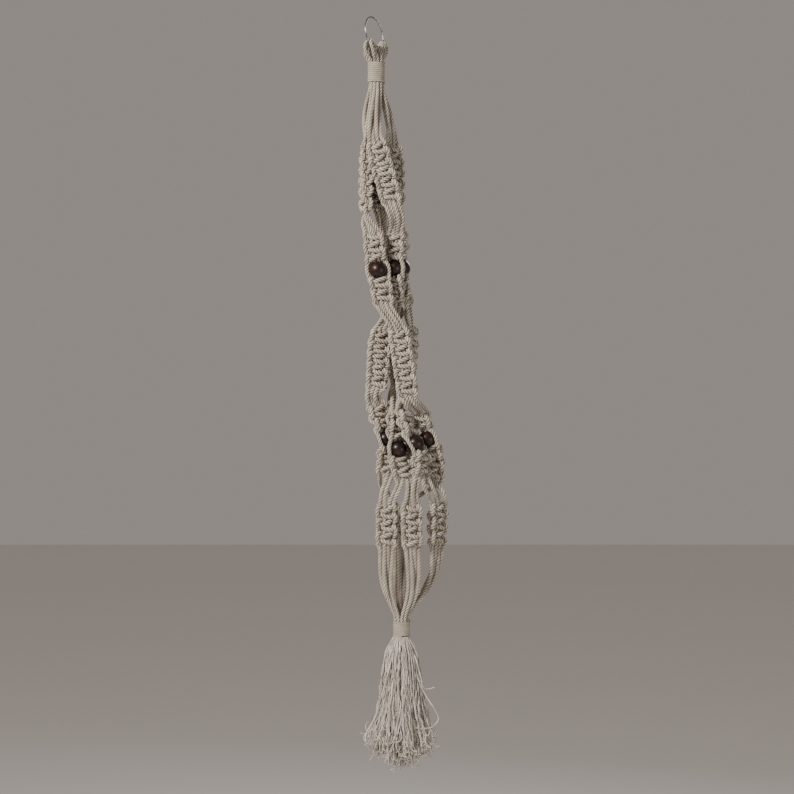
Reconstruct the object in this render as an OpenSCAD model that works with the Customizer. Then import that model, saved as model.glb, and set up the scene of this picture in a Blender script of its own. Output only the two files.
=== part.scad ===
// Hanging macrame planter: four knotted arms of four cords each hang from a steel ring and meet
// in a knotted basket, a wrap and a tassel. Millimetres. The origin is where a hook bears inside
// the top of the ring, +Z is up, +X is to the right and -Y is the front.

/* [Cord] */
// Diameter of a cord's solid: the 6 mm cotton cord, pressed a little where it lies on another
cord_d = 5.2; // [4.6:0.1:5.2]
// Diameter of the same cord where a wrap or a bead squeezes it
squeezed_d = 4.4; // [4:0.1:4.4]
// Diameter of the cord where it folds over the ring
fold_d = 4.5; // [4:0.1:4.5]

/* [Ring] */
// Outside diameter of the steel ring
ring_d = 50; // [46:1:56]
// Diameter of its wire
ring_wire_d = 2.4; // [2:0.1:2.6]
// Turn of the ring's plane about the vertical, from facing the front
ring_turn = 60; // [0:1:90]
// Lean of the ring towards the right
ring_lean = 8; // [0:1:12]

/* [Knots] */
// Width of a braid of square knots
sennit_w = 25; // [20:1:26]
// Thickness of the braid
sennit_t = 14.5; // [10:0.5:15]
// Length of one square knot along the braid
knot_pitch = 16; // [12:1:20]

/* [Beads] */
// Diameter of a bead
bead_d = 25; // [20:0.5:25]
// Diameter of its bore
bead_bore_d = 10.6; // [9.6:0.1:11]

/* [Wraps] */
// Outside diameter of the top wrap
top_wrap_d = 25; // [24:0.5:27]
// Outside diameter of the bottom wrap
bottom_wrap_d = 24; // [23.5:0.5:27]
// Diameter of the hole that a wrap leaves for the sixteen cords
wrap_bore_d = 22.4; // [22.4:0.2:23]

/* [Tassel] */
// Greatest diameter of the tassel
tassel_d = 104; // [60:2:110]
// Length of the tassel below the bottom wrap
tassel_h = 187; // [120:1:187]

/* [Hidden] */
NAMES = ["left", "front", "right", "back"];

CORD_COLOUR = [0.80, 0.76, 0.67];
WRAP_COLOUR = [0.87, 0.83, 0.74];
BEAD_COLOUR = [0.16, 0.06, 0.05];
STEEL_COLOUR = [0.75, 0.76, 0.78];
TASSEL_COLOUR = [0.88, 0.86, 0.80];

// Top and bottom of each wrap, with the place of its axis: [x, y, top, bottom].
TOP_WRAP = [6, 0, -63, -94];
BOTTOM_WRAP = [42, -16, -857, -881];

// Where each braid of an arm starts and ends: [x, y, z, turn], the turn being that of its flat
// face about the vertical. Upper braid, collar over the bead, collar under it, long braid, and
// the collars over and under the lower bead. Each bead sits midway between its two collars.
ARMS = [
    [[-8, 0, -184, -85], [-9, -3, -275, -75], [2, -12, -314, -15], [6, -13, -347, -5],
     [11, -13, -374, 5], [16, -17, -406, 5], [39, -23, -452, -5], [51, -24, -538, -5],
     [69, 1, -567, -15], [73, 7, -588, -35], [85, 8, -615, -35], [89, 2, -657, 20]],
    [[7, -17, -186, 0], [27, -18, -262, 0], [33, 1, -313, -20], [32, 4, -343, -35],
     [31, 5, -370, -35], [31, 6, -402, -10], [12, 0, -453, 15], [6, -4, -526, 0],
     [8, 1, -557, 20], [16, 0, -588, 55], [23, 0, -614, 55], [21, -2, -647, -20]],
    [[28, 8, -186, 25], [33, 13, -265, 48], [44, 30, -312, 75], [42, 30, -341, 95],
     [43, 30, -369, 100], [51, 21, -401, 80], [55, 11, -445, 65], [51, 8, -528, 75],
     [43, -13, -567, 75], [54, -20, -594, 60], [69, -22, -620, 60], [70, -20, -647, 45]],
    [[5, 21, -188, 175], [12, 22, -268, 165], [12, 34, -308, 160], [6, 35, -338, 150],
     [8, 35, -367, 140], [20, 27, -398, 110], [35, 27, -440, 105], [32, 21, -512, 85],
     [31, -2, -572, 75], [36, -15, -601, 35], [39, -17, -629, 30], [46, -15, -652, 0]]
];

// How far the middle of each arm's loose stretches stands off the straight line, [x, y]: the
// upper cords, the crossing cords, the waist cords and the link cords.
BOWS = [
    [[-3, 0], [-2, -3], [0, -3], [0, -5]],
    [[0, -4], [3, -4], [2, 5], [-5, -2]],
    [[4, 0], [0, 4], [-3, 2], [-4, 3]],
    [[0, 5], [3, 3], [8, 4], [-2, 3]]
];

// The same for each cord of an arm on its way into the basket.
BASKET_BOWS = [
    [[3, -5], [7, -11], [-3, 3], [-5, 12]],
    [[-9, 14], [-3, -3], [-3, -3], [-3, -4]],
    [[-3, -4], [-3, -3], [-4, -13], [2, -9]],
    [[-1, -4], [-1, -7], [1, -3], [0, 1]]
];

// The basket's four braids, where two cords of one arm meet two of the next: [x, y, z, turn] of
// the start and the end.
BASKET = [
    [[21, -12, -700, -5], [21, -12, -751, 0]],
    [[56, -20, -698, 0], [57, -18, -752, 5]],
    [[94, 0, -697, 40], [93, 2, -750, 45]],
    [[42, 24, -708, 180], [42, 24, -745, 180]]
];
// How far the cords under each basket braid bow out before the bottom wrap draws them in, [x, y].
GATHER_BOWS = [[-6, 1], [6, -5], [7, 4], [0, 6]];
// For each arm, the basket braid that its first and its last two cords run to.
GIVES = [[2, 3], [3, 0], [1, 2], [0, 1]];

// Where a wrap holds the four cords of an arm: [distance from the axis, angle from the arm's].
OUTER = 8.9;
INNER = 3.8;
TOP_SLOTS = [[OUTER, -30], [INNER, 0], [OUTER, 0], [OUTER, 30]];
BOTTOM_SLOTS = [[OUTER, -30], [OUTER, 0], [INNER, 0], [OUTER, 30]];
TOP_ANGLES = [195, 285, 15, 105];
BOTTOM_ANGLES = [210, 300, 30, 120];

// The eight loops along the ring: [angle from its lowest point, arm and cord of the front leg,
// arm and cord of the back leg].
LOOPS = [
    [-54, 1, 0, 0, 3], [-39, 1, 2, 0, 2], [-23, 1, 1, 0, 1], [-7.7, 1, 3, 0, 0],
    [7.7, 2, 0, 3, 3], [23, 2, 1, 3, 1], [39, 2, 2, 3, 2], [54, 2, 3, 3, 0]
];
// Radius at which a cord bends round the ring's wire.
loop_r = 4.2;

// Places of the four cords across a braid's end: the outer two tie the knots round the inner two.
ACROSS = [-9.6, -3.1, 3.1, 9.6];
// The inner two side by side through a bead, and the outer two beside it.
bead_filler = 2.3;
bead_side = bead_d / 2 + 4;
// How far neighbouring cords of a loose stretch stand in front of and behind each other.
STAGGER = 3;
GAP = 0.2;
CORD_SIDES = 8;
SENNIT_SIDES = 12;
RINGS_A_KNOT = 3;

ring_r = (ring_d - ring_wire_d) / 2;
top_tassel_r = 11.8;
// The tassel turns about the centre of its round top, just under the bottom wrap.
TASSEL_PIVOT = [BOTTOM_WRAP[0], BOTTOM_WRAP[1], BOTTOM_WRAP[3] - 0.4 - top_tassel_r];

// ---- vectors ----
function unit(v) = v / norm(v);
function place(row) = [row[0], row[1], row[2]];
function facing(row) = [cos(row[3]), sin(row[3]), 0];
function along(p, q) = unit(place(q) - place(p));
// Across a braid that runs in direction d with its flat face turned to u.
function square_to(u, d) = unit(u - d * (d * u));

// A smooth line of n pieces from p to q, leaving along dp and arriving along dq, whose middle
// stands off by bow.
function bent(p, dp, q, dq, bow, n, pull = 1) =
    let (reach = norm(q - p) * pull)
    [for (i = [0:n]) let (t = i / n)
        (2 * t ^ 3 - 3 * t ^ 2 + 1) * p + (t ^ 3 - 2 * t ^ 2 + t) * reach * dp
        + (3 * t ^ 2 - 2 * t ^ 3) * q + (t ^ 3 - t ^ 2) * reach * dq
        + 16 * t ^ 2 * (1 - t) ^ 2 * bow];

function straight(p, q, n) = [for (i = [0:n]) p + (q - p) * i / n];
// A line without its first k points.
function after(line, k = 1) = [for (i = [k:len(line) - 1]) line[i]];

// The direction of a line at each of its points; its two ends can be given theirs.
function headings(line, first = undef, end = undef) =
    let (last = len(line) - 1)
    [for (i = [0:last])
        i == 0 && !is_undef(first) ? first
        : i == last && !is_undef(end) ? end
        : unit(line[min(i + 1, last)] - line[max(i - 1, 0)])];

// Directions across a line that turn as little as they can along it.
function carried(heads, first) =
    [for (i = 0, u = square_to(first, heads[0]); i < len(heads);
          i = i + 1, u = i < len(heads) ? square_to(u, heads[i]) : u) u];

// ---- solids swept along a line ----
// Rings of points, joined into one closed solid.
module skin(rings) {
    sides = len(rings[0]);
    last = len(rings) - 1;
    points = [for (ring = rings) each ring];
    faces = [
        [for (k = [0:sides - 1]) k],
        for (i = [0:last - 1], k = [0:sides - 1]) let (
            a = i * sides + k, b = i * sides + (k + 1) % sides)
            each [[a, a + sides, b + sides], [a, b + sides, b]],
        [for (k = [sides - 1:-1:0]) last * sides + k]
    ];
    polyhedron(points, faces);
}

// A round cord along a line; widths is its diameter at each point. Its ends are cut square to
// first and end, where they are given.
module cord(line, widths, first = undef, end = undef) {
    heads = headings(line, first, end);
    us = carried(heads, abs(heads[0][2]) > 0.9 ? [1, 0, 0] : [0, 0, 1]);
    skin([for (i = [0:len(line) - 1]) let (v = cross(heads[i], us[i]))
        [for (k = [0:CORD_SIDES - 1]) let (a = 360 * k / CORD_SIDES)
            line[i] + widths[i] / 2 * (cos(a) * us[i] + sin(a) * v)]]);
}

module plain_cord(line, first, end) {
    cord(line, [for (p = line) cord_d], first, end);
}

// A braid between two rows: an oval that swells at each square knot.
module sennit(p, q) {
    d = along(p, q);
    start = place(p) + d * GAP;
    length = norm(place(q) - place(p)) - 2 * GAP;
    knots = max(1, round(length / knot_pitch));
    n = knots * RINGS_A_KNOT;
    skin([for (i = [0:n]) let (
            t = i / n,
            turn = p[3] + (q[3] - p[3]) * t,
            u = square_to([cos(turn), sin(turn), 0], d),
            v = cross(d, u),
            swell = i % RINGS_A_KNOT == 0 ? 0.9 : 1)
        [for (k = [0:SENNIT_SIDES - 1]) let (a = 360 * k / SENNIT_SIDES)
            start + d * length * t + swell / 2 * (sennit_w * cos(a) * u + sennit_t * sin(a) * v)]]);
}

// ---- where cords start and end ----
// Cord i at row k of an arm.
function braid_end(arm, k, i) =
    let (rows = ARMS[arm], first = k - k % 2, d = along(rows[first], rows[first + 1]))
    place(rows[k]) + square_to(facing(rows[k]), d) * ACROSS[i] + d * (k % 2 == 0 ? -GAP : GAP);
function heading(arm, k) = along(ARMS[arm][k - k % 2], ARMS[arm][k - k % 2 + 1]);
function front_of(arm, k) = cross(heading(arm, k), square_to(facing(ARMS[arm][k]), heading(arm, k)));
function slot(wrap, slots, angle, i) =
    let (a = angle + slots[i][1])
    [wrap[0] + slots[i][0] * cos(a), wrap[1] + slots[i][0] * sin(a)];
function staggered(bow, front, i) = [bow[0], bow[1], 0] + front * (i % 2 == 0 ? STAGGER : -STAGGER);

// Cord i of an arm from its braid at row k to the next.
function stretch(arm, k, i, bow) =
    bent(braid_end(arm, k, i), heading(arm, k), braid_end(arm, k + 1, i), heading(arm, k + 1),
         staggered(bow, (front_of(arm, k) + front_of(arm, k + 1)) / 2, i), 4);

// ---- the ring and what hangs on it ----
module in_ring_plane() {
    rotate([0, -ring_lean, 0]) rotate([0, 0, ring_turn]) children();
}

module hanging_ring() {
    color(STEEL_COLOUR)
        in_ring_plane()
            translate([0, 0, -ring_r + ring_wire_d / 2])
                rotate([90, 0, 0])
                    rotate_extrude($fn = 96)
                        translate([ring_r, 0])
                            circle(d = ring_wire_d, $fn = 32);
}

// The same turn for a point of the ring's own plane: x along it, y off it, z up.
function from_ring(v) =
    let (x = v[0] * cos(ring_turn) - v[1] * sin(ring_turn),
         y = v[0] * sin(ring_turn) + v[1] * cos(ring_turn))
    [x * cos(ring_lean) - v[2] * sin(ring_lean), y, x * sin(ring_lean) + v[2] * cos(ring_lean)];

// A leg of a loop, from its slot in the top wrap up to the ring. The legs of the outer loops
// give way to their neighbours.
function leg(from, to, arriving, angle) =
    let (out = [from[0] - TOP_WRAP[0], from[1] - TOP_WRAP[1], 0] / OUTER,
         off = from_ring([0, -1, 0]),
         stand = (from - from_ring([0, 0, -ring_r])) * off,
         side = stand > 0 ? 1 : -1,
         away = from_ring([(angle / 54) ^ 5, (angle / 54) ^ 4, 0]) * 3,
         bow = off * (stand - side * 4.5) - side * away)
    bent(from, [0, 0, 1] + 0.55 * out, to, arriving, bow, 5, 0.9);

function loop_arc(angle) =
    let (outward = [sin(angle), 0, -cos(angle)],
         c = [0, 0, -ring_r + ring_wire_d / 2] + ring_r * outward)
    [for (b = [100:-25:-100]) from_ring(c + loop_r * (-outward * cos(b) - [0, 1, 0] * sin(b)))];

module cord_fold() {
    color(CORD_COLOUR)
        for (l = LOOPS) {
            arc = loop_arc(l[0]);
            last = len(arc) - 1;
            front = [each slot(TOP_WRAP, TOP_SLOTS, TOP_ANGLES[l[1]], l[2]), TOP_WRAP[2] + GAP];
            back = [each slot(TOP_WRAP, TOP_SLOTS, TOP_ANGLES[l[3]], l[4]), TOP_WRAP[2] + GAP];
            up = leg(front, arc[0], unit(arc[1] - arc[0]), l[0]);
            down = leg(back, arc[last], unit(arc[last - 1] - arc[last]), l[0]);
            legs = len(up) - 1;
            line = [for (i = [0:legs - 1]) up[i], each arc, for (i = [legs - 1:-1:0]) down[i]];
            total = len(line) - 1;
            cord(line, [for (i = [0:total])
                let (t = min(1, min(i, total - i) / legs)) squeezed_d + (fold_d - squeezed_d) * t],
                 [0, 0, 1], [0, 0, -1]);
        }
}

module wrap(at, d) {
    height = at[2] - at[3];
    edge = 0.8;
    inside = wrap_bore_d / 2;
    color(WRAP_COLOUR)
        translate([at[0], at[1], at[3]])
            rotate_extrude($fn = 72)
                polygon([[inside, 0], [d / 2 - edge, 0], [d / 2, edge], [d / 2, height - edge],
                         [d / 2 - edge, height], [inside, height]]);
}

// ---- the arms ----
module upper_cords(arm) {
    color(CORD_COLOUR)
        for (i = [0:3]) {
            at = slot(TOP_WRAP, TOP_SLOTS, TOP_ANGLES[arm], i);
            top = [each at, TOP_WRAP[2]];
            foot = [each at, TOP_WRAP[3]];
            line = [top, each bent(foot, [0, 0, -1], braid_end(arm, 0, i), heading(arm, 0),
                                   staggered(BOWS[arm][0], front_of(arm, 0), i), 7, 0.9)];
            cord(line, [for (p = line)
                min(cord_d, squeezed_d + (cord_d - squeezed_d) * max(0, TOP_WRAP[3] - 6 - p[2]) / 50)],
                 [0, 0, -1], heading(arm, 0));
        }
}

module braid(arm, k) {
    color(CORD_COLOUR)
        sennit(ARMS[arm][k], ARMS[arm][k + 1]);
}

module loose_cords(arm, k, bow) {
    color(CORD_COLOUR)
        for (i = [0:3])
            plain_cord(stretch(arm, k, i, bow), heading(arm, k), heading(arm, k + 1));
}

function bead_middle(arm, k) = (place(ARMS[arm][k]) + place(ARMS[arm][k + 1])) / 2;
function bead_across(arm, k) =
    let (turn = (ARMS[arm][k][3] + ARMS[arm][k + 1][3]) / 2)
    square_to([cos(turn), sin(turn), 0], along(ARMS[arm][k], ARMS[arm][k + 1]));

// How much of a bead's own line a cord keeps, from one end of its pass (-1) to the other (1).
function beside(h) = (1 - h ^ 4) ^ 2;

// A cord's pass from the collar over a bead to the collar under it; stand is how far from the
// bead's middle it passes.
function pass(arm, k, i, stand) =
    let (middle = bead_middle(arm, k),
         d = along(ARMS[arm][k], ARMS[arm][k + 1]),
         u = bead_across(arm, k) * (i < 2 ? -1 : 1),
         a = braid_end(arm, k, i), b = braid_end(arm, k + 1, i),
         half = norm(place(ARMS[arm][k + 1]) - place(ARMS[arm][k])) / 2)
    [a, for (h = [-0.8:0.2:0.81]) let (s = beside(h), t = (h + 1) / 2)
        (a + (b - a) * t) * (1 - s) + (middle + d * h * half + u * stand) * s, b];

// The collars over and under a bead, and the four cords between them: two through it, two past it.
module bead_knots(arm, k) {
    braid(arm, k - 1);
    braid(arm, k + 1);
    color(CORD_COLOUR)
        for (i = [0:3]) {
            through = i == 1 || i == 2;
            line = pass(arm, k, i, through ? bead_filler : bead_side);
            cord(line, [for (p = line) through ? squeezed_d : cord_d],
                 heading(arm, k), heading(arm, k + 1));
        }
}

module bead(arm, k) {
    d = along(ARMS[arm][k], ARMS[arm][k + 1]);
    color(BEAD_COLOUR)
        translate(bead_middle(arm, k))
            rotate([0, acos(d[2]), atan2(d[1], d[0])])
                difference() {
                    sphere(d = bead_d, $fn = 64);
                    cylinder(d = bead_bore_d, h = bead_d + 2, center = true, $fn = 48);
                }
}

// ---- the basket ----
function basket_end(j, k, i) =
    let (p = BASKET[j][0], q = BASKET[j][1], d = along(p, q))
    place(BASKET[j][k]) + square_to(facing(BASKET[j][k]), d) * ACROSS[i] + d * (k == 0 ? -GAP : GAP);

module basket_cords(arm) {
    color(CORD_COLOUR)
        for (i = [0:3]) {
            j = GIVES[arm][i < 2 ? 0 : 1];
            k = i < 2 ? i + 2 : i - 2;
            d = along(BASKET[j][0], BASKET[j][1]);
            plain_cord(bent(braid_end(arm, 11, i), heading(arm, 11), basket_end(j, 0, k), d,
                            [each BASKET_BOWS[arm][i], 0], 6), heading(arm, 11), d);
        }
}

module basket_sennit(j) {
    color(CORD_COLOUR)
        sennit(BASKET[j][0], BASKET[j][1]);
}

module gather_cords(j) {
    p = BASKET[j][0];
    q = BASKET[j][1];
    d = along(p, q);
    front = cross(d, square_to(facing(q), d));
    slots = j == 2 ? TOP_SLOTS : BOTTOM_SLOTS;
    color(CORD_COLOUR)
        for (i = [0:3]) {
            at = slot(BOTTOM_WRAP, slots, BOTTOM_ANGLES[j], i);
            side = slots[1][0] == OUTER ? -1 : 1;
            line = [each bent(basket_end(j, 1, i), 1.6 * d, [each at, BOTTOM_WRAP[2]], [0, 0, -0.75],
                              staggered(GATHER_BOWS[j], front * side, i), 10, 0.9),
                    [each at, BOTTOM_WRAP[3]]];
            cord(line, [for (p = line)
                min(cord_d, squeezed_d + (cord_d - squeezed_d) * max(0, p[2] - BOTTOM_WRAP[2] - 7) / 50)],
                 d, [0, 0, -1]);
        }
}

// ---- the tassel ----
module tassel() {
    r = tassel_d / 2;
    low = BOTTOM_WRAP[3] - tassel_h - TASSEL_PIVOT[2];
    // Radius as a share of the greatest, and height as a share of the lowest point's depth.
    bell = [[0.40, 0.04], [0.47, 0.11], [0.58, 0.26], [0.68, 0.42], [0.77, 0.52], [0.88, 0.62],
            [1, 0.74], [0.97, 0.85], [0.72, 1]];
    color(TASSEL_COLOUR)
        translate(TASSEL_PIVOT)
            rotate_extrude($fn = 72)
                polygon([
                    [0, low], [0, top_tassel_r],
                    for (a = [75:-15:0]) top_tassel_r * [cos(a), sin(a)],
                    for (b = bell) [r * b[0], low * b[1]]
                ]);
}

// ---- what is drawn ----
hanging_ring();
cord_fold();
wrap(TOP_WRAP, top_wrap_d);  // top_wrap
wrap(BOTTOM_WRAP, bottom_wrap_d);  // bottom_wrap
tassel();
for (n = [0:3]) {
    upper_cords(n);
    braid(n, 0);
    loose_cords(n, 1, BOWS[n][1]);
    bead_knots(n, 3);
    bead(n, 3);
    loose_cords(n, 5, BOWS[n][2]);
    braid(n, 6);
    loose_cords(n, 7, BOWS[n][3]);
    bead_knots(n, 9);
    bead(n, 9);
    basket_cords(n);
    basket_sennit(n);
    gather_cords(n);
}
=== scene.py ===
"""Looks of the hanging macrame planter. Eight real cords are run from the ring through every knot
to the bottom wrap, settled against each other and swept as three-ply rope. Lengths are millimetres
until mm() turns them into metres."""
import math

import bpy
import numpy as np
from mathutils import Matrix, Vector


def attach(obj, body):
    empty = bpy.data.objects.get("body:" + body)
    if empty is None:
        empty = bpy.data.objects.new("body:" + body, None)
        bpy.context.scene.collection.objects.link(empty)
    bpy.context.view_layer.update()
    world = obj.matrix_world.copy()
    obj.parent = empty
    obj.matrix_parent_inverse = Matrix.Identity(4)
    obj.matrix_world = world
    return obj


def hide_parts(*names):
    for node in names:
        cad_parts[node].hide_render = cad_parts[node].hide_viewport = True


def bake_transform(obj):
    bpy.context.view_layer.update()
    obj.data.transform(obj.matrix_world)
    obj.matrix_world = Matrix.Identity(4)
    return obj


# ---------------------------------------------------------------- routes
A = np.array
# Thickness of a cord, loose and where a wrap or a bead squeezes it, and height of a square knot.
CORD = 6.0
SQUEEZED = 4.4
KNOT = 16.0
# The ring to the middle of its wire, its wire, and a folded cord's bend round the wire.
RING_R = 23.8
WIRE_R = 1.2
LOOP_R = 4.2
# How the ring stands, in degrees: turned about the vertical, and tipped sideways.
RING_TURN = 60
RING_LEAN = 8
# Radius of a bead, of its bore and of a wrap's, and how far off a bore's middle its two cords run.
BEAD_R = 12.5
BEAD_BORE = 5.3
WRAP_BORE = 11.2
IN_BORE = 2.25
# Of an arm's four cords the middle two are fillers. The outer two are tied round them.
FILLERS = (1, 2)

NAMES = ("left", "front", "right", "back")
# The wraps: x, y, and the z of their top and foot.
TOP = (6, 0, -63, -94)
BOTTOM = (42, -16, -857, -881)

# Start and end of each braid: x, y, z and the turn of its flat face. Upper braid, collar over the
# bead, collar under it, long braid, and the collars over and under the lower bead.
ARMS = {
    "left": [(-8, 0, -184, -85), (-9, -3, -275, -75), (2, -12, -314, -15), (6, -13, -347, -5),
             (11, -13, -374, 5), (16, -17, -406, 5), (39, -23, -452, -5), (51, -24, -538, -5),
             (69, 1, -567, -15), (73, 7, -588, -35), (85, 8, -615, -35), (89, 2, -657, 20)],
    "front": [(7, -17, -186, 0), (27, -18, -262, 0), (33, 1, -313, -20), (32, 4, -343, -35),
              (31, 5, -370, -35), (31, 6, -402, -10), (12, 0, -453, 15), (6, -4, -526, 0),
              (8, 1, -557, 20), (16, 0, -588, 55), (23, 0, -614, 55), (21, -2, -647, -20)],
    "right": [(28, 8, -186, 25), (33, 13, -265, 48), (44, 30, -312, 75), (42, 30, -341, 95),
              (43, 30, -369, 100), (51, 21, -401, 80), (55, 11, -445, 65), (51, 8, -528, 75),
              (43, -13, -567, 75), (54, -20, -594, 60), (69, -22, -620, 60), (70, -20, -647, 45)],
    "back": [(5, 21, -188, 175), (12, 22, -268, 165), (12, 34, -308, 160), (6, 35, -338, 150),
             (8, 35, -367, 140), (20, 27, -398, 110), (35, 27, -440, 105), (32, 21, -512, 85),
             (31, -2, -572, 75), (36, -15, -601, 35), (39, -17, -629, 30), (46, -15, -652, 0)],
}
# How far the middle of a loose stretch stands off: upper, crossing, waist and link cords.
BOWS = {
    "left": [(-3, 0), (-2, -3), (0, -3), (0, -5)],
    "front": [(0, -4), (3, -4), (2, 5), (-5, -2)],
    "right": [(4, 0), (0, 4), (-3, 2), (-4, 3)],
    "back": [(0, 5), (3, 3), (8, 4), (-2, 3)],
}
# Which of them comes after each braid that has no bead under it.
BOW_AFTER = {0: 1, 2: 2, 3: 3}
# The same for the four cords from an arm's foot to the basket braids.
BASKET_BOWS = {
    "left": [(3, -5), (7, -11), (-3, 3), (-5, 12)],
    "front": [(-9, 14), (-3, -3), (-3, -3), (-3, -4)],
    "right": [(-3, -4), (-3, -3), (-4, -13), (2, -9)],
    "back": [(-1, -4), (-1, -7), (1, -3), (0, 1)],
}
# Top and foot of each basket braid, as in ARMS.
BASKET = {
    "left": [(21, -12, -700, -5), (21, -12, -751, 0)],
    "front": [(56, -20, -698, 0), (57, -18, -752, 5)],
    "right": [(94, 0, -697, 40), (93, 2, -750, 45)],
    "back": [(42, 24, -708, 180), (42, 24, -745, 180)],
}
# How far the cords under each basket braid bow out before the wrap draws them in.
GATHER_BOWS = {"left": (-6, 1), "front": (6, -5), "right": (7, 4), "back": (0, 6)}
# The basket braid that an arm's first and last two cords run to.
GIVES = {"left": ("right", "back"), "front": ("back", "left"), "right": ("front", "right"),
         "back": ("left", "front")}
# Where an arm's four cords run in a wrap: distance from its axis, and angle from the arm's own.
OUTER_SLOT = 8.9
INNER_SLOT = 3.8
TOP_SLOTS = [(OUTER_SLOT, -30), (INNER_SLOT, 0), (OUTER_SLOT, 0), (OUTER_SLOT, 30)]
BOTTOM_SLOTS = [(OUTER_SLOT, -30), (OUTER_SLOT, 0), (INNER_SLOT, 0), (OUTER_SLOT, 30)]
TOP_ANGLES = {"left": 195, "front": 285, "right": 15, "back": 105}
BOTTOM_ANGLES = {"left": 210, "front": 300, "right": 30, "back": 120}
# The eight cords: angle of each loop on the ring, arm and cord of its front and its back leg.
WIDEST = 54
LOOPS = [
    (-WIDEST, ("front", 0), ("left", 3)), (-39, ("front", 2), ("left", 2)),
    (-23, ("front", 1), ("left", 1)), (-7.7, ("front", 3), ("left", 0)),
    (7.7, ("right", 0), ("back", 3)), (23, ("right", 1), ("back", 1)),
    (39, ("right", 2), ("back", 2)), (WIDEST, ("right", 3), ("back", 0)),
]
# How far across a braid its four cords run, and how far loose cords pass in front or behind.
ACROSS = (-9.0, -2.9, 2.9, 9.0)
WEAVE = 3.0
# Which way round a braid is tied: +1 where its left cord starts in front.
TIED = {"left": (1, -1, 1, 1, -1, 1), "front": (1, 1, -1, 1, 1, -1), "right": (-1, 1, 1, -1, 1, 1),
        "back": (1, 1, -1, 1, -1, 1)}
BASKET_TIED = {"left": 1, "front": -1, "right": 1, "back": 1}
# Rows of an arm with a bead under them.
UPPER_BEAD = 3
LOWER_BEAD = 9
# How far past the wraps the cords stay squeezed, and over how much more they fill out again.
TIGHT_UNDER_TOP = 6
TIGHT_OVER_BOTTOM = 7
FILLING_OUT = 50
# How firmly a stretch keeps to its drawn line while the cords settle.
FIXED = 1.0
IN_FOLD = 0.06
AT_WRAP = 0.05
LOOSE = 0.03
BESIDE_BEAD = 0.02
KNOTTED = 0.004


def rad(x):
    return math.radians(x)


def unit(v):
    return v / np.linalg.norm(v)


def place(row):
    return A(row[:3], float)


def square_to(u, d):
    return unit(u - d * (u @ d))


def braid_frame(p, q, turn):
    d = unit(place(q) - place(p))
    u = square_to(A([math.cos(rad(turn)), math.sin(rad(turn)), 0.0]), d)
    return d, u, np.cross(d, u)


def bent(p, dp, q, dq, bow, pull=1.0):
    """A curve from p to q that leaves along dp and arrives along dq, its middle moved by bow."""
    reach = np.linalg.norm(q - p) * pull
    n = max(4, int(round(np.linalg.norm(q - p) / 2)))
    t = np.linspace(0, 1, n + 1)[:, None]
    return ((2 * t**3 - 3 * t**2 + 1) * p + (t**3 - 2 * t**2 + t) * reach * dp
            + (3 * t**2 - 2 * t**3) * q + (t**3 - t**2) * reach * dq
            + 16 * t**2 * (1 - t) ** 2 * bow)


# One half knot of a working cord, from its own side to the other: across and off the braid in cord
# widths, and down in half knots. The cord in front is as listed, the one behind has off reversed.
HALF = A([
    (1.50, -0.35, 0.00), (1.50, -0.45, -0.25), (1.15, 0.25, -0.62), (0.45, 1.00, -0.52),
    (-0.35, 1.05, -0.30), (-0.95, 0.35, -0.08), (-1.32, -0.50, -0.15), (-1.55, -0.50, -0.55),
])


def knots(p, q, i, tied):
    """Points of cord i of a braid from row p to row q."""
    length = np.linalg.norm(place(q) - place(p))
    halves = 2 * max(1, round(length / KNOT))
    if i in FILLERS:
        # Fillers wander a little, in front and behind.
        local = [(ACROSS[i], 0.5 * math.sin(1.9 * k), k / halves) for k in range(halves + 1)]
    else:
        side = -1 if i == 0 else 1
        front = 1 if (side == -1) == (tied == 1) else -1
        local = []
        for k in range(halves):
            for u, v, w in HALF:
                local.append((side * (-1) ** k * u * CORD, v * front * CORD, (k - w) / halves))
        local.append((side * HALF[0][0] * CORD, HALF[0][1] * front * CORD, 1.0))
    out = []
    for u_off, v_off, w in local:
        turn = p[3] + (q[3] - p[3]) * w
        _, u, v = braid_frame(p, q, turn)
        out.append(place(p) + (place(q) - place(p)) * w + u * u_off + v * v_off)
    return A(out)


def weave(bow, front, i):
    """How cord i of a loose stretch bows: with the others, and in front of or behind them."""
    return A([*bow, 0.0]) + front * WEAVE * (-1) ** i


def slot(wrap, slots, angle, i):
    a = rad(angle + slots[i][1])
    return A([wrap[0] + slots[i][0] * math.cos(a), wrap[1] + slots[i][0] * math.sin(a)])


def bead_line(rows, k):
    """Middle, axis, side and half the distance between the collars of the bead under row k."""
    a, b = place(rows[k]), place(rows[k + 1])
    d, u, _ = braid_frame(rows[k], rows[k + 1], (rows[k][3] + rows[k + 1][3]) / 2)
    return (a + b) / 2, d, u, np.linalg.norm(b - a) / 2


def bead_pass(rows, k, i, a, b):
    """A cord's pass at a bead from a to b: the inner two go through it and the outer two beside."""
    middle, d, u, half = bead_line(rows, k)
    side = -1 if i < 2 else 1
    stand = IN_BORE if i in FILLERS else BEAD_R + CORD / 2
    h = np.linspace(-1, 1, 15)[:, None]
    s = (1 - h**4) ** 2
    return (a + (b - a) * (h + 1) / 2) * (1 - s) + (middle + d * h * half + u * side * stand) * s


def swelling(clear):
    """Radius of a squeezed cord as it fills out again, by its distance from the wrap."""
    return SQUEEZED / 2 + (CORD - SQUEEZED) / 2 * np.clip(clear / FILLING_OUT, 0, 1)


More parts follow.
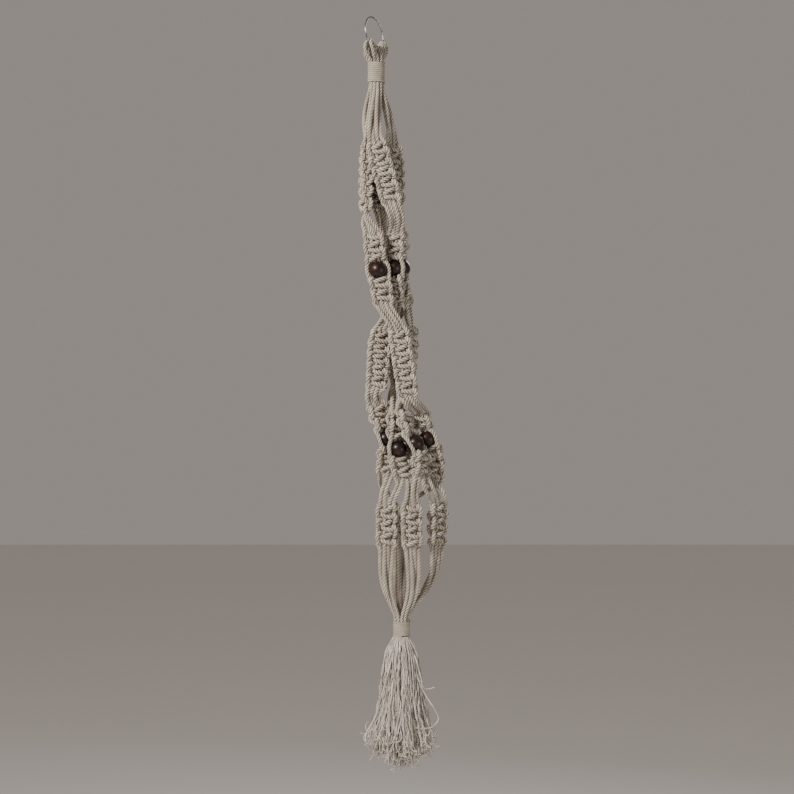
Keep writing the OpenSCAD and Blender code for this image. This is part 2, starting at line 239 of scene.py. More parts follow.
def arm_line(name, i):
    """Cord i of an arm, from the top of the top wrap to the foot of the bottom wrap, as pieces:
    (points, how firmly they are held, radius)."""
    rows = ARMS[name]
    tied = TIED[name]
    ends = [knots(rows[2 * b], rows[2 * b + 1], i, tied[b]) for b in range(6)]
    heads = [braid_frame(rows[2 * b], rows[2 * b + 1], 0)[0] for b in range(6)]
    fronts = [braid_frame(rows[k - k % 2], rows[k - k % 2 + 1], rows[k][3])[2] for k in range(12)]
    at = slot(TOP, TOP_SLOTS, TOP_ANGLES[name], i)
    down = A([0, 0, -1.0])
    foot = A([*at, TOP[3]])
    top = A([A([*at, TOP[2]]) + down * x for x in np.linspace(0, TOP[2] - TOP[3], 16)])
    upper = bent(foot, down, ends[0][0], heads[0], weave(BOWS[name][0], fronts[0], i), 0.9)[1:]
    out = [(top, FIXED, SQUEEZED / 2),
           (upper, AT_WRAP, swelling(TOP[3] - TIGHT_UNDER_TOP - upper[:, 2]))]
    for b in range(6):
        out.append((ends[b][1:], KNOTTED, CORD / 2))
        if 2 * b + 1 in (UPPER_BEAD, LOWER_BEAD):
            through = i in FILLERS
            out.append((bead_pass(rows, 2 * b + 1, i, ends[b][-1], ends[b + 1][0])[1:-1],
                        FIXED if through else BESIDE_BEAD, (SQUEEZED if through else CORD) / 2))
        elif b < 5:
            bow = BOWS[name][BOW_AFTER[b]]
            front = (fronts[2 * b + 1] + fronts[2 * b + 2]) / 2
            out.append((bent(ends[b][-1], heads[b], ends[b + 1][0], heads[b + 1],
                             weave(bow, front, i))[1:-1], LOOSE, CORD / 2))
    j = GIVES[name][0 if i < 2 else 1]
    k = i + 2 if i < 2 else i - 2
    p, q = BASKET[j]
    braid = knots(p, q, k, BASKET_TIED[j])
    d = braid_frame(p, q, 0)[0]
    out.append((bent(ends[5][-1], heads[5], braid[0], d, A([*BASKET_BOWS[name][i], 0.0]))[1:-1],
                LOOSE, CORD / 2))
    out.append((braid, KNOTTED, CORD / 2))
    at = slot(BOTTOM, TOP_SLOTS if j == "right" else BOTTOM_SLOTS, BOTTOM_ANGLES[j], k)
    front = braid_frame(p, q, q[3])[2]
    flip = 1 if j == "right" else -1
    gather = bent(braid[-1], 1.6 * d, A([*at, BOTTOM[2]]), 0.75 * down,
                  weave(GATHER_BOWS[j], front * flip, k), 0.9)[1:]
    out.append((gather, AT_WRAP, swelling(gather[:, 2] - BOTTOM[2] - TIGHT_OVER_BOTTOM)))
    out.append((A([A([*at, BOTTOM[2]]) + down * x for x in np.linspace(2, 23.6, 12)]), FIXED,
                SQUEEZED / 2))
    return out


def ring_axes():
    """The ring's own directions across, through and down, and its middle."""
    lean = rad(RING_LEAN)
    turn = rad(RING_TURN)
    tip = A([[math.cos(lean), 0, -math.sin(lean)], [0, 1, 0], [math.sin(lean), 0, math.cos(lean)]])
    along = tip @ A([math.cos(turn), math.sin(turn), 0])
    off = tip @ A([math.sin(turn), -math.cos(turn), 0])
    down = tip @ A([0, 0, -1.0])
    return along, off, down, down * (RING_R - WIRE_R)


def fold_line(angle, front, back):
    """A cord's loop over the ring, from its slot in the top wrap to the other."""
    along, off, down, middle = ring_axes()
    outward = along * math.sin(rad(angle)) + down * math.cos(rad(angle))
    c = middle + RING_R * outward
    arc = A([c + LOOP_R * (-outward * math.cos(b) + off * math.sin(b))
             for b in np.radians(np.linspace(100, -100, 9))])
    legs = []
    for end, to, arriving in ((front, arc[0], arc[1] - arc[0]), (back, arc[-1], arc[-2] - arc[-1])):
        at = slot(TOP, TOP_SLOTS, TOP_ANGLES[end[0]], end[1])
        out = A([at[0] - TOP[0], at[1] - TOP[1], 0.0]) / OUTER_SLOT
        start = A([*at, TOP[2]])
        stand = (start - middle) @ off
        side = 1 if stand > 0 else -1
        # The legs bulge before they close in on the wire, and the outermost loops lean aside.
        away = (along * (angle / WIDEST) ** 5 - off * (angle / WIDEST) ** 4) * 2
        legs.append(bent(start, A([0, 0, 1.0]) + 0.45 * out, to, unit(arriving),
                         off * (stand - side * 4.5) - side * away, 0.8))
    up, down_again = legs[0][1:-1], legs[1][::-1][1:-1]
    slim = [SQUEEZED / 2 + 0.3 * np.clip((leg[:, 2] - TOP[2]) / 20, 0, 1)
            for leg in (up, down_again)]
    return [(up, IN_FOLD, slim[0]), (arc, FIXED, 2.5), (down_again, IN_FOLD, slim[1])]


def cord_pieces(angle, front, back):
    """One whole cord, from the bottom wrap over the ring and back to it."""
    pieces = []
    for pts, hold, r in arm_line(*front)[::-1]:
        pieces.append((pts[::-1], hold, r if np.isscalar(r) else r[::-1]))
    pieces += fold_line(angle, front, back)
    pieces += arm_line(*back)
    return pieces


def spline(pts, s_new):
    """Points along a smooth curve through pts, at the given distances along it."""
    seg = np.linalg.norm(np.diff(pts, axis=0), axis=1)
    s = np.concatenate([[0], np.cumsum(seg)])
    m = np.gradient(pts, s, axis=0)
    k = np.clip(np.searchsorted(s, s_new, side="right") - 1, 0, len(s) - 2)
    h = (s[k + 1] - s[k])[:, None]
    t = ((s_new - s[k])[:, None]) / h
    return ((2 * t**3 - 3 * t**2 + 1) * pts[k] + (t**3 - 2 * t**2 + t) * h * m[k]
            + (3 * t**2 - 2 * t**3) * pts[k + 1] + (t**3 - t**2) * h * m[k + 1])


def resample(pts, step, *values):
    """The line through pts in even steps, and what values are there."""
    keep = np.concatenate([[True], np.linalg.norm(np.diff(pts, axis=0), axis=1) > 0.05])
    pts = pts[keep]
    values = [v[keep] for v in values]
    s = np.concatenate([[0], np.cumsum(np.linalg.norm(np.diff(pts, axis=0), axis=1))])
    fine = spline(pts, np.linspace(0, s[-1], len(pts) * 6))
    s_fine = np.concatenate([[0], np.cumsum(np.linalg.norm(np.diff(fine, axis=0), axis=1))])
    n = int(round(s_fine[-1] / step))
    want = np.linspace(0, s_fine[-1], n + 1)
    old = np.interp(np.linspace(0, s[-1], len(fine)), s, np.arange(len(pts)))
    where = np.interp(want, s_fine, old)
    line = A([np.interp(want, s_fine, fine[:, c]) for c in range(3)]).T
    return [line] + [np.interp(where, np.arange(len(pts)), v) for v in values]


# Step along a cord while it settles, how near two of its points are for contact, how much of their
# thickness is left between cords that touch, and how many rounds it takes.
STEP = 2.1
REACH = 6.6
TOUCHING = 0.92
ROUNDS = 260
# The cords start thin, at this share of their thickness, and are full after this share of the
# rounds. Then how hard a cord pulls itself straight, in a knot and loose, and how stiff it is.
THIN_START = 0.35
GROWN_AT = 0.55
KNOT_PULL = 0.12
LOOSE_PULL = 0.06
STIFFNESS = 0.30


def neighbours(x, reach, cord, index):
    """Pairs of points nearer than reach that aren't close along one cord."""
    cell = np.floor(x / reach).astype(np.int64)
    cell -= cell.min(0)
    span = cell.max(0) + 3
    key = ((cell[:, 0] + 1) * span[1] + cell[:, 1] + 1) * span[2] + cell[:, 2] + 1
    order = np.argsort(key, kind="stable")
    sorted_key = key[order]
    pairs = []
    for dx in (-1, 0, 1):
        for dy in (-1, 0, 1):
            for dz in (-1, 0, 1):
                shift = (dx * span[1] + dy) * span[2] + dz
                if shift < 0:
                    continue
                lo = np.searchsorted(sorted_key, key + shift, side="left")
                hi = np.searchsorted(sorted_key, key + shift, side="right")
                count = hi - lo
                i = np.repeat(np.arange(len(x)), count)
                start = np.repeat(lo - np.concatenate([[0], np.cumsum(count)[:-1]]), count)
                j = order[start + np.arange(len(i))]
                if shift == 0:
                    ok = i < j
                    i, j = i[ok], j[ok]
                pairs.append((i, j))
    i = np.concatenate([p[0] for p in pairs])
    j = np.concatenate([p[1] for p in pairs])
    near = np.einsum("ij,ij->i", x[i] - x[j], x[i] - x[j]) < reach * reach
    apart = (cord[i] != cord[j]) | (np.abs(index[i] - index[j]) > 4)
    ok = near & apart
    return i[ok], j[ok]


def settle(lines, rounds):
    """Push the cords apart where they touch and pull each knot tight, holding what is held."""
    x = np.concatenate([l[0] for l in lines])
    hold = np.concatenate([l[1] for l in lines])
    radius = np.concatenate([l[2] for l in lines])
    cord = np.concatenate([np.full(len(l[0]), n) for n, l in enumerate(lines)])
    index = np.concatenate([np.arange(len(l[0])) for l in lines])
    home = x.copy()
    free = (hold < 0.99)[:, None]
    first = index == 0
    last = np.concatenate([first[1:], [True]])
    inner = ~(first | last)
    beads = [bead_line(ARMS[name], k)[0] for name in NAMES for k in (UPPER_BEAD, LOWER_BEAD)]
    move = free[:, 0] & inner
    for n in range(rounds):
        grow = min(1.0, THIN_START + (1 - THIN_START) * n / (GROWN_AT * rounds))
        if n % 4 == 0:
            i, j = neighbours(x, REACH, cord, index)
        # tension and stiffness
        mean = x.copy()
        mean[1:-1] = (x[:-2] + x[2:]) / 2
        bend = np.zeros_like(x)
        lap = mean - x
        bend[1:-1] = lap[1:-1] - (lap[:-2] + lap[2:]) / 2
        knot = (hold < 0.01)[:, None]
        x[move] += (np.where(knot, KNOT_PULL, LOOSE_PULL) * lap + STIFFNESS * bend)[move]
        x[move] += (hold[:, None] * (home - x))[move]
        # contact
        for _ in range(2):
            gap = x[i] - x[j]
            dist = np.sqrt(np.einsum("ij,ij->i", gap, gap)) + 1e-9
            want = (radius[i] + radius[j]) * TOUCHING * grow
            deep = np.clip(want - dist, 0, None)
            touch = deep > 0
            push = gap[touch] / dist[touch, None] * deep[touch, None] * 0.5
            total = np.zeros_like(x)
            hits = np.zeros(len(x))
            np.add.at(total, i[touch], push)
            np.add.at(total, j[touch], -push)
            np.add.at(hits, i[touch], 1)
            np.add.at(hits, j[touch], 1)
            x += np.where(free, total / np.maximum(1, hits * 0.6)[:, None], 0)
        for middle in beads:
            off = x - middle
            far = np.sqrt(np.einsum("ij,ij->i", off, off)) + 1e-9
            want = BEAD_R + radius * 0.97
            hit = (far < want) & free[:, 0]
            x[hit] += off[hit] / far[hit, None] * (want[hit] - far[hit])[:, None]
    return [(x[cord == n], radius[cord == n]) for n in range(len(lines))]


def settled_cords(rounds):
    lines = []
    for loop in LOOPS:
        pts, hold, r = [], [], []
        for p, h, w in cord_pieces(*loop):
            pts.append(p)
            hold.append(np.full(len(p), h))
            r.append(np.full(len(p), w) if np.isscalar(w) else w)
        lines.append(resample(np.concatenate(pts), STEP, np.concatenate(hold), np.concatenate(r)))
    return settle(lines, rounds)


def mesh_object(name, verts, faces, look, uv=None):
    """A smooth-shaded piece from points in millimetres and a list of arrays of equal-sided
    faces."""
    flat = np.concatenate([f.ravel() for f in faces])
    counts = np.concatenate([np.full(len(f), f.shape[1]) for f in faces])
    mesh = bpy.data.meshes.new(name)
    mesh.vertices.add(len(verts))
    mesh.vertices.foreach_set("co", (np.asarray(verts) * 0.001).astype(np.float32).ravel())
    mesh.loops.add(len(flat))
    mesh.loops.foreach_set("vertex_index", flat.astype(np.int32))
    mesh.polygons.add(len(counts))
    starts = np.concatenate([[0], np.cumsum(counts)[:-1]])
    mesh.polygons.foreach_set("loop_start", starts.astype(np.int32))
    mesh.update(calc_edges=True)
    mesh.polygons.foreach_set("use_smooth", np.ones(len(counts), bool))
    if uv is not None:
        layer = mesh.uv_layers.new(name="UVMap")
        layer.data.foreach_set("uv", np.asarray(uv)[flat].astype(np.float32).ravel())
    mesh.materials.append(look)
    obj = bpy.data.objects.new(name, mesh)
    bpy.context.scene.collection.objects.link(obj)
    return obj


def carried(tangent, first):
    """Directions across a line that turn as little as they can along it."""
    u = first
    out = np.empty_like(tangent)
    for n, t in enumerate(tangent):
        u = u - t * (u @ t)
        u = u / math.sqrt(u @ u)
        out[n] = u
    return out


def tube(line, radius, profile, twist=0.0, phase=0.0):
    """Points, faces and distances of a closed tube. profile is the outline's share of the radius
    at each side, twist its turn per millimetre."""
    tangent = np.gradient(line, axis=0)
    tangent /= np.linalg.norm(tangent, axis=1)[:, None]
    u = carried(tangent, A([1.0, 0, 0]) if abs(tangent[0][0]) < 0.9 else A([0, 1.0, 0]))
    v = np.cross(tangent, u)
    s = np.concatenate([[0], np.cumsum(np.linalg.norm(np.diff(line, axis=0), axis=1))])
    sides, n = len(profile), len(line)
    a = np.arange(sides)[None, :] * 2 * np.pi / sides + (phase + twist * s)[:, None]
    r = (np.zeros(n) + radius)[:, None] * profile[None, :]
    points = (line[:, None] + (r * np.cos(a))[..., None] * u[:, None]
              + (r * np.sin(a))[..., None] * v[:, None]).reshape(-1, 3)
    k = np.arange(sides)
    i = np.arange(n - 1)[:, None] * sides
    quads = np.stack([i + k, i + (k + 1) % sides, i + (k + 1) % sides + sides, i + k + sides], -1)
    caps = np.stack([k[::-1], k + (n - 1) * sides])
    return points, [quads.reshape(-1, 4), caps], s


# A turn of a rope's plies, the sides of its outline and how many of them one ply takes.
PLY_PITCH = 14.0
ROPE_SIDES = 18
PLY_SIDES = ROPE_SIDES // 3


def rope(name, line, radius, look, phase):
    """A three-ply rope along a line: its plies turn the way the middle of a Z does."""
    sides = ROPE_SIDES
    theta = np.arange(sides) * 2 * np.pi / sides
    profile = 0.60 + 0.40 * np.abs(np.cos(1.5 * theta)) ** 0.75
    points, faces, s = tube(line, radius * 1.03, profile, 2 * math.pi / PLY_PITCH, phase)
    uv = np.stack([np.repeat(s, sides) * 0.05, np.tile(np.arange(sides) / sides, len(s))], -1)
    obj = mesh_object(name, points, faces, look, uv)
    # The furrows between plies stay sharp.
    ends = np.empty(2 * len(obj.data.edges), np.int32)
    obj.data.edges.foreach_get("vertices", ends)
    ends = np.sort(ends.reshape(-1, 2), axis=1)
    furrow = (ends[:, 1] - ends[:, 0] == sides) & (ends[:, 0] % PLY_SIDES == PLY_SIDES // 2)
    obj.data.edges.foreach_set("use_edge_sharp", furrow)
    return obj


def lathe(name, profile, centre, axis, sides, look):
    """A solid of revolution: profile is a closed outline of (distance from the axis, along it)."""
    axis = unit(A(axis, float))
    u = unit(np.cross(axis, A([0.31, 0.77, 0.55])))
    v = np.cross(axis, u)
    a = np.arange(sides) * 2 * np.pi / sides
    ring = np.cos(a)[:, None] * u + np.sin(a)[:, None] * v
    p = A(profile, float)
    points = A(centre, float) + p[:, 0, None, None] * ring + p[:, 1, None, None] * axis
    points = points.reshape(-1, 3)
    n = len(p)
    i = np.arange(n)[:, None] * sides
    j = (np.arange(n)[:, None] + 1) % n * sides
    k = np.arange(sides)
    quads = np.stack([i + k, i + (k + 1) % sides, j + (k + 1) % sides, j + k], -1).reshape(-1, 4)
    return mesh_object(name, points, [quads], look)


# ---------------------------------------------------------------- materials
def material(name, colour, rough, **sockets):
    """A new material, its nodes, links and shader."""
    m = bpy.data.materials.new(name)
    m.use_nodes = True
    shader = m.node_tree.nodes["Principled BSDF"]
    shader.inputs["Base Color"].default_value = (*colour, 1)
    shader.inputs["Roughness"].default_value = rough
    for key, value in sockets.items():
        shader.inputs[key.replace("_", " ")].default_value = value
    return m, m.node_tree.nodes, m.node_tree.links, shader


def noise(nodes, links, coords, scale, detail, stretch=None):
    tex = nodes.new("ShaderNodeTexNoise")
    tex.inputs["Scale"].default_value = scale
    tex.inputs["Detail"].default_value = detail
    source = coords
    if stretch is not None:
        mapping = nodes.new("ShaderNodeMapping")
        mapping.inputs["Scale"].default_value = stretch
        links.new(coords, mapping.inputs["Vector"])
        source = mapping.outputs["Vector"]
    links.new(source, tex.inputs["Vector"])
    return tex.outputs["Fac"]


def ramp(nodes, links, fac, stops):
    r = nodes.new("ShaderNodeValToRGB")
    r.color_ramp.elements[0].position = stops[0][0]
    r.color_ramp.elements[0].color = (*stops[0][1], 1)
    r.color_ramp.elements[1].position = stops[-1][0]
    r.color_ramp.elements[1].color = (*stops[-1][1], 1)
    for at, colour in stops[1:-1]:
        r.color_ramp.elements.new(at).color = (*colour, 1)
    links.new(fac, r.inputs["Fac"])
    return r.outputs["Color"]


def maths(nodes, links, operation, value, other=None):
    n = nodes.new("ShaderNodeMath")
    n.operation = operation
    links.new(value, n.inputs[0])
    if other is not None:
        n.inputs[1].default_value = other
    return n.outputs[0]


def bump(nodes, links, shader, height, strength, distance):
    b = nodes.new("ShaderNodeBump")
    b.inputs["Strength"].default_value = strength
    b.inputs["Distance"].default_value = distance
    links.new(height, b.inputs["Height"])
    links.new(b.outputs["Normal"], shader.inputs["Normal"])


def cotton(name, dark, light, grain, sheen, fibre_scale, furrow_shade=0.0, plies=3, by="Object"):
    """Cotton: blotches of two tones, placed by the coordinates named in by, and fine fibres that
    run with the piece. Its furrow argument is painted shade: how dark it is between the plies of a
    rope, or with plies of 2 along the edges of a wound cord, where shade would fall."""
    m, nodes, links, shader = material(name, light, 0.88, Sheen_Weight=sheen, Sheen_Roughness=0.45,
                                       Specular_IOR_Level=0.25)
    coords = nodes.new("ShaderNodeTexCoord")
    patches = noise(nodes, links, coords.outputs[by], grain, 3)
    colour = ramp(nodes, links, patches, [(0.3, dark), (0.68, light)] if by == "Object"
                  else [(0.40, dark), (0.58, light)])
    # Painted shade: the colour darkens in the grooves between plies, or between the turns of a
    # wound cord.
    if furrow_shade:
        split = nodes.new("ShaderNodeSeparateXYZ")
        links.new(coords.outputs["UV"], split.inputs["Vector"])
        turns = maths(nodes, links, "MULTIPLY", split.outputs["Y"], plies * math.pi)
        height = maths(nodes, links, "ABSOLUTE", maths(nodes, links, "COSINE", turns))
        shade = 1 - furrow_shade
        halfway = [1 - furrow_shade * share for share in (0.487, 0.526, 0.577)]
        groove_shade = ramp(nodes, links, height, [(0.0, (shade * 0.9, shade * 0.8, shade * 0.7)),
                                            (0.5, halfway), (0.9, (1, 1, 1))])
        both = nodes.new("ShaderNodeMix")
        both.data_type = "RGBA"
        both.blend_type = "MULTIPLY"
        both.inputs["Factor"].default_value = 1.0
        a, b = [i for i in both.inputs if i.enabled and i.name in "AB"]
        links.new(colour, a)
        links.new(groove_shade, b)
        colour = next(o for o in both.outputs if o.enabled)
    links.new(colour, shader.inputs["Base Color"])
    fibres = noise(nodes, links, coords.outputs["UV"], fibre_scale, 2, (3.0, 9.0, 1.0))
    bump(nodes, links, shader, fibres, 0.35, 0.0004)
    return m


def wood():
    m, nodes, links, shader = material("bead_wood", (0.012, 0.004, 0.003), 0.42, Coat_Weight=0.22,
                                       Coat_Roughness=0.16, Specular_IOR_Level=0.3)
    coords = nodes.new("ShaderNodeTexCoord")
    grain = noise(nodes, links, coords.outputs["Object"], 160, 4, (1.0, 1.0, 0.22))
    stops = [(0.32, (0.004, 0.0015, 0.0012)), (0.55, (0.014, 0.004, 0.003)),
             (0.72, (0.05, 0.013, 0.008))]
    links.new(ramp(nodes, links, grain, stops), shader.inputs["Base Color"])
    bump(nodes, links, shader, grain, 0.08, 0.0003)
    return m


def steel():
    m, nodes, links, shader = material("ring_steel", (0.34, 0.34, 0.35), 0.3, Metallic=1.0)
    coords = nodes.new("ShaderNodeTexCoord")
    wear = noise(nodes, links, coords.outputs["Object"], 220, 3)
    links.new(ramp(nodes, links, wear, [(0.3, (0.26, 0.26, 0.27)), (0.7, (0.42, 0.42, 0.43))]),
              shader.inputs["Base Color"])
    return m


# ---------------------------------------------------------------- scene
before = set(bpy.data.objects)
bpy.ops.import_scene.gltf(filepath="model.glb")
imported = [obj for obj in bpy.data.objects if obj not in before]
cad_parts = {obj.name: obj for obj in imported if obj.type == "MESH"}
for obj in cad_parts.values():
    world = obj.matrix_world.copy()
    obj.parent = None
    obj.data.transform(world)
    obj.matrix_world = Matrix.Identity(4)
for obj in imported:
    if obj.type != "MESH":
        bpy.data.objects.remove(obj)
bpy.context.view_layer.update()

# Camera: straight on and level with the middle of the planter, with 1.134 m of it in the picture.
LENS = 70
SENSOR = 36
IN_VIEW = 1.134
camera = bpy.data.cameras.new("camera")
camera.lens = LENS
camera.sensor_width = SENSOR
camera.clip_end = 20
eye = bpy.data.objects.new("camera", camera)
eye.location = (0.0355, -IN_VIEW * LENS / SENSOR, -0.5412)
eye.rotation_euler = (math.radians(90), 0, 0)
bpy.context.scene.collection.objects.link(eye)
bpy.context.scene.camera = eye

# Painted shade darkens the rope between its plies.
cord_cotton = cotton("cord_cotton", (0.47, 0.42, 0.345), (0.64, 0.59, 0.50), 55, 0.15, 30,
                     furrow_shade=0.78)
# Painted shade darkens the wound thread along its edges, between its turns.
wrap_cotton = cotton("wrap_cotton", (0.335, 0.298, 0.237), (0.445, 0.398, 0.321), 90, 0.08, 60,
                     furrow_shade=0.36, plies=2)
tassel_cotton = cotton("tassel_cotton", (0.33, 0.30, 0.252), (0.74, 0.70, 0.63), 2.6, 0.2, 60,
                       by="UV")
# The tassel core's tone is painted shade: a dull cotton for the yarns packed deep inside.
shaded_core_cotton = cotton("shaded_core_cotton", (0.34, 0.315, 0.27), (0.44, 0.41, 0.355), 140, 0.2, 60)
bead_wood = wood()
ring_steel = steel()

# The eight cords, each whole: settled, then swept as rope.
settled = settled_cords(ROUNDS)
cord_nodes = ["cord_fold"] + [
    f"{n}_{part}" for n in NAMES for part in (
        "upper_cords", "upper_sennit", "crossing_cords", "upper_bead_knots", "waist_cords",
        "long_sennit", "link_cords", "lower_bead_knots", "basket_cords", "basket_sennit",
        "gather_cords")]
for n, (line, radius) in enumerate(settled):
    line, radius = resample(line, 1.15, radius)
    obj = rope(f"cord_{n + 1}", line, radius, cord_cotton, 1.3 * n)
    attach(obj, "hanger")
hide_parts(*cord_nodes)


def wound(name, at, outer, node):
    """A thin cord wound close round the sixteen ends."""
    top, foot = at[2], at[3]
    thick = outer - WRAP_BORE
    turns_per_mm = 0.365
    points_per_turn = 56
    sides = 8
    half = 0.5 / turns_per_mm
    turns = (top - foot) * turns_per_mm - 1
    a = np.arange(int(turns * points_per_turn) + 1) / points_per_turn * 2 * math.pi
    z = top - half - a / (2 * math.pi) / turns_per_mm
    wobble = 0.06 * np.sin(a * 0.83) + 0.05 * np.sin(a * 2.31 + 1)
    r = WRAP_BORE + thick / 2
    k = math.pi + np.arange(sides) * 2 * math.pi / sides
    out = r + wobble[:, None] + thick / 2 * np.cos(k)[None, :]
    up = half * 1.06 * np.sin(k)[None, :]
    points = np.stack([at[0] + out * np.cos(a)[:, None], at[1] + out * np.sin(a)[:, None],
                       z[:, None] + up], -1).reshape(-1, 3)
    i = np.arange(len(a) - 1)[:, None] * sides
    j = np.arange(sides)
    after = (j + 1) % sides
    quads = np.stack([i + j, i + j + sides, i + after + sides, i + after], -1).reshape(-1, 4)
    caps = np.stack([j, (j + (len(a) - 1) * sides)[::-1]])
    s = a * r
    uv = np.stack([np.repeat(s, sides) * 0.02, np.tile(j / sides, len(a))], -1)
    obj = mesh_object(name, points, [quads, caps], wrap_cotton, uv)
    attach(obj, "hanger")
    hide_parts(node)


wound("wrap_top", TOP, 12.5, "top_wrap")
wound("wrap_bottom", BOTTOM, 12.0, "bottom_wrap")

# Beads, turned from wood with softened edges to their bores.
for name in NAMES:
    for where, k in (("upper", UPPER_BEAD), ("lower", LOWER_BEAD)):
        middle, d, _, _ = bead_line(ARMS[name], k)
        soft = 0.7
        edge = math.acos((BEAD_BORE + soft) / BEAD_R)
        outside = [(BEAD_R * math.cos(t), BEAD_R * math.sin(t))
                   for t in np.linspace(-edge, edge, 33)]
        tip = math.sqrt(BEAD_R**2 - (BEAD_BORE + soft) ** 2)
        inside = [(BEAD_BORE + 0.25, tip + 0.05), (BEAD_BORE, tip - 0.5), (BEAD_BORE, 0),
                  (BEAD_BORE, 0.5 - tip), (BEAD_BORE + 0.25, -tip - 0.05)]
        obj = lathe(f"bead_{name}_{where}", outside + inside, middle, d, 56, bead_wood)
        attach(obj, f"{name}_{where}_bead")
        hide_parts(f"{name}_{where}_bead")

# The ring.
_, off, _, middle = ring_axes()
wire = [(RING_R + WIRE_R * math.cos(t), WIRE_R * math.sin(t))
        for t in np.linspace(0, 2 * math.pi, 20, endpoint=False)]
ring = lathe("ring", wire, middle, off, 128, ring_steel)
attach(ring, "ring")
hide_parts("hanging_ring")


# ---------------------------------------------------------------- tassel
# Its radius at each depth under the bottom wrap.
DEPTH = A([0, 3, 14, 22, 32, 60, 89, 109, 124, 143, 165, 189.0])
WIDTH = A([11.3, 12.6, 20, 23, 25, 30, 34.5, 38, 42, 45, 46, 47.0])
TASSEL_TOP = A([BOTTOM[0], BOTTOM[1], BOTTOM[3] + 0.6])
YARNS = 640
CLUMPS = 64
# How far down the middle yarns hang, and how much higher the outermost ones end.
LONGEST = 187
OUTER_SHORTER = 31
GOLDEN_ANGLE = 2.399963


def spread(n, total):
    """An even scatter over a disc: share of the radius, and angle."""
    return math.sqrt((n + 0.5) / total), n * GOLDEN_ANGLE


def yarn(rng, rank, a, clump):
    """One combed yarn, from under the bottom wrap to its curled tip. It keeps to a clump of its
    neighbours on the way down."""
    tip = LONGEST - OUTER_SHORTER * rank**2 - abs(rng.normal(0, 8)) * (0.4 + rank)
    curled = rng.random() < 0.22 + 0.35 * rank
    tail = rng.uniform(14, 31) if curled else rng.uniform(5, 12)
    turn = rng.uniform(1.2, 4.4) if curled else rng.uniform(0, 0.8)
    m = 19
    t = np.linspace(0, 1, m)
    z = t * (tip - tail * (0.55 if curled else 1.0))
    c_rank, c_angle, c_phase, c_wave = clump
    # The clumps part most about halfway down, and each yarn has a crimp of its own.
    gather = 0.42 * np.sin(np.clip(z / 170, 0, 1) ** 1.3 * math.pi) ** 1.2
    own = rank * A([math.cos(a), math.sin(a)])
    shared = c_rank * A([math.cos(c_angle), math.sin(c_angle)])
    at = own + (shared - own) * gather[:, None]
    r = np.interp(z, DEPTH, WIDTH) * (1 - 0.08 * rng.random() * t)
    line = np.column_stack([at * r[:, None], -z])
    crimp = (0.45 + 0.8 * t) * rng.uniform(0.3, 1.4)
    wave = 2 * math.pi * z / rng.uniform(15, 27) + rng.uniform(0, 6.28)
    sway = 3.4 * t**1.4 * c_rank
    slow = 2 * math.pi * z / c_wave + c_phase
    drift = np.cumsum(rng.normal(0, 0.55, (m, 2)), axis=0) * t[:, None] ** 1.2
    line[:, 0] += crimp * np.cos(wave) + sway * np.cos(slow) + drift[:, 0]
    line[:, 1] += crimp * np.sin(wave * 0.9) + sway * np.sin(slow) * 0.6 + drift[:, 1]
    out = a + rng.normal(0, 1.2)
    side = A([math.cos(out), math.sin(out), 0])
    end = []
    at = line[-1]
    for k in range(1, 8):
        angle = turn * k / 7
        at = at + tail / 7 * (side * math.sin(angle) - A([0, 0, math.cos(angle)]))
        end.append(at)
    return np.vstack([line, end]) + TASSEL_TOP


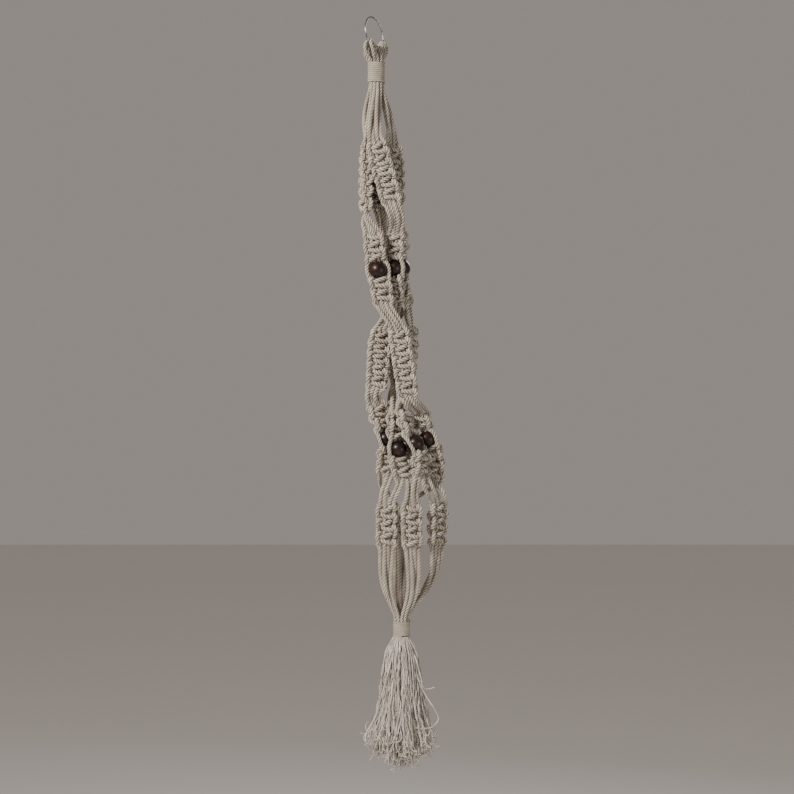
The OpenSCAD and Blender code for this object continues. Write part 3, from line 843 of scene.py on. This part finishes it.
def tassel():
    """Combed yarns over a plain core that stops light between them. The core's dull tone is
    painted shade for the yarns packed deep inside.
    """
    rng = np.random.default_rng(7)
    clumps = [(*spread(n, CLUMPS), rng.uniform(0, 6.28), rng.uniform(90, 190))
              for n in range(CLUMPS)]
    spots = A([(r * math.cos(a), r * math.sin(a)) for r, a, _, _ in clumps])
    lines = []
    for n in range(YARNS):
        rank, a = spread(n, YARNS)
        a += rng.normal(0, 0.06)
        off = spots - rank * A([math.cos(a), math.sin(a)])
        near = int(np.argmin(np.einsum("ij,ij->i", off, off)))
        thick = rng.uniform(0.58, 0.78) if rng.random() < 0.88 else rng.uniform(0.82, 1.0)
        lines.append((yarn(rng, rank, a, clumps[near]), thick))
    # Two long loops that have sprung out at the sides, and a stray end.
    strays = [
        [(52, -14, -884), (60, -26, -905), (66, -34, -940), (78, -38, -964), (90, -40, -982),
         (94, -40, -993), (88, -42, -1001), (75, -46, -1005), (61, -50, -1003)],
        [(35, -20, -884), (28, -34, -910), (14, -40, -960), (4, -40, -992), (-5, -38, -1008),
         (-9, -38, -1019), (-8, -40, -1026), (0, -42, -1028), (11, -46, -1022)],
        [(50, -18, -884), (62, -32, -910), (69, -36, -935), (74, -40, -950), (82, -42, -950),
         (88, -42, -948)],
    ]
    for stray in strays:
        pts = A(stray, float)
        s = np.concatenate([[0], np.cumsum(np.linalg.norm(np.diff(pts, axis=0), axis=1))])
        lines.append((spline(pts, np.linspace(0, s[-1], 34)), 1.0))
    points, quads, uvs = [], [], []
    base = 0
    for n, (line, thick) in enumerate(lines):
        p, faces, s = tube(line, thick, np.ones(4), 0.0, n)
        points.append(p)
        quads.append(faces[0] + base)
        uvs.append(np.stack([np.repeat(s, 4) * 0.02 + n * 0.37,
                             np.tile(np.arange(4) / 4, len(s))], -1))
        base += len(p)
    yarns = mesh_object("tassel_yarns", np.concatenate(points), [np.concatenate(quads)],
                        tassel_cotton, np.concatenate(uvs))
    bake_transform(yarns)
    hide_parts("tassel")
    # The core starts under the wrap and stops well above the tips, inside the yarns all round.
    # Its dull tone is painted shade for the yarns packed inside.
    z = np.linspace(13, 150, 15)
    w = np.interp(z, DEPTH, WIDTH) * 0.74
    w[-1] *= 0.7
    outline = [(0.02, -z[0])] + [(a, -b) for a, b in zip(w, z)] + [(0.02, -z[-1] - 2)]
    core = lathe("tassel_core", outline, (BOTTOM[0], BOTTOM[1], BOTTOM[3]), (0, 0, 1), 40,
                 shaded_core_cotton)
    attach(core, "tassel")


tassel()

# ---------------------------------------------------------------- floor and light
FLOOR_Z = -1.90
FLOOR_HALF = 12
corners = [(x * FLOOR_HALF, y * FLOOR_HALF, 0) for x, y in ((-1, -1), (1, -1), (1, 1), (-1, 1))]
floor_mesh = bpy.data.meshes.new("floor")
floor_mesh.from_pydata(corners, [], [(0, 1, 2, 3)])
floor = bpy.data.objects.new("floor", floor_mesh)
floor.location = (0, 0, FLOOR_Z)
bpy.context.scene.collection.objects.link(floor)
floor_mesh.materials.append(material("floor", (0.80, 0.78, 0.75), 0.9)[0])


def lamp(name, where, size, power, colour=(1, 1, 1)):
    """A soft round lamp that shines at the middle of the planter."""
    data = bpy.data.lights.new(name, "AREA")
    data.shape = "DISK"
    data.size = size
    data.energy = power
    data.color = colour
    obj = bpy.data.objects.new(name, data)
    obj.location = where
    aim = A([0.035, 0, -0.54]) - A(where)
    obj.rotation_euler = Vector(aim).to_track_quat("-Z", "Y").to_euler()
    bpy.context.scene.collection.objects.link(obj)


lamp("key", (-1.6, -1.7, 0.7), 0.8, 100, (1.0, 0.95, 0.895))
lamp("fill", (2.0, -1.8, -0.8), 1.5, 16, (0.97, 0.98, 1.0))
lamp("back", (0.8, 2.4, 0.6), 1.2, 25)
world = bpy.data.worlds.new("world")
bpy.context.scene.world = world
world.use_nodes = True
world.node_tree.nodes["Background"].inputs["Color"].default_value = (0.66, 0.59, 0.55, 1)
world.node_tree.nodes["Background"].inputs["Strength"].default_value = 0.45
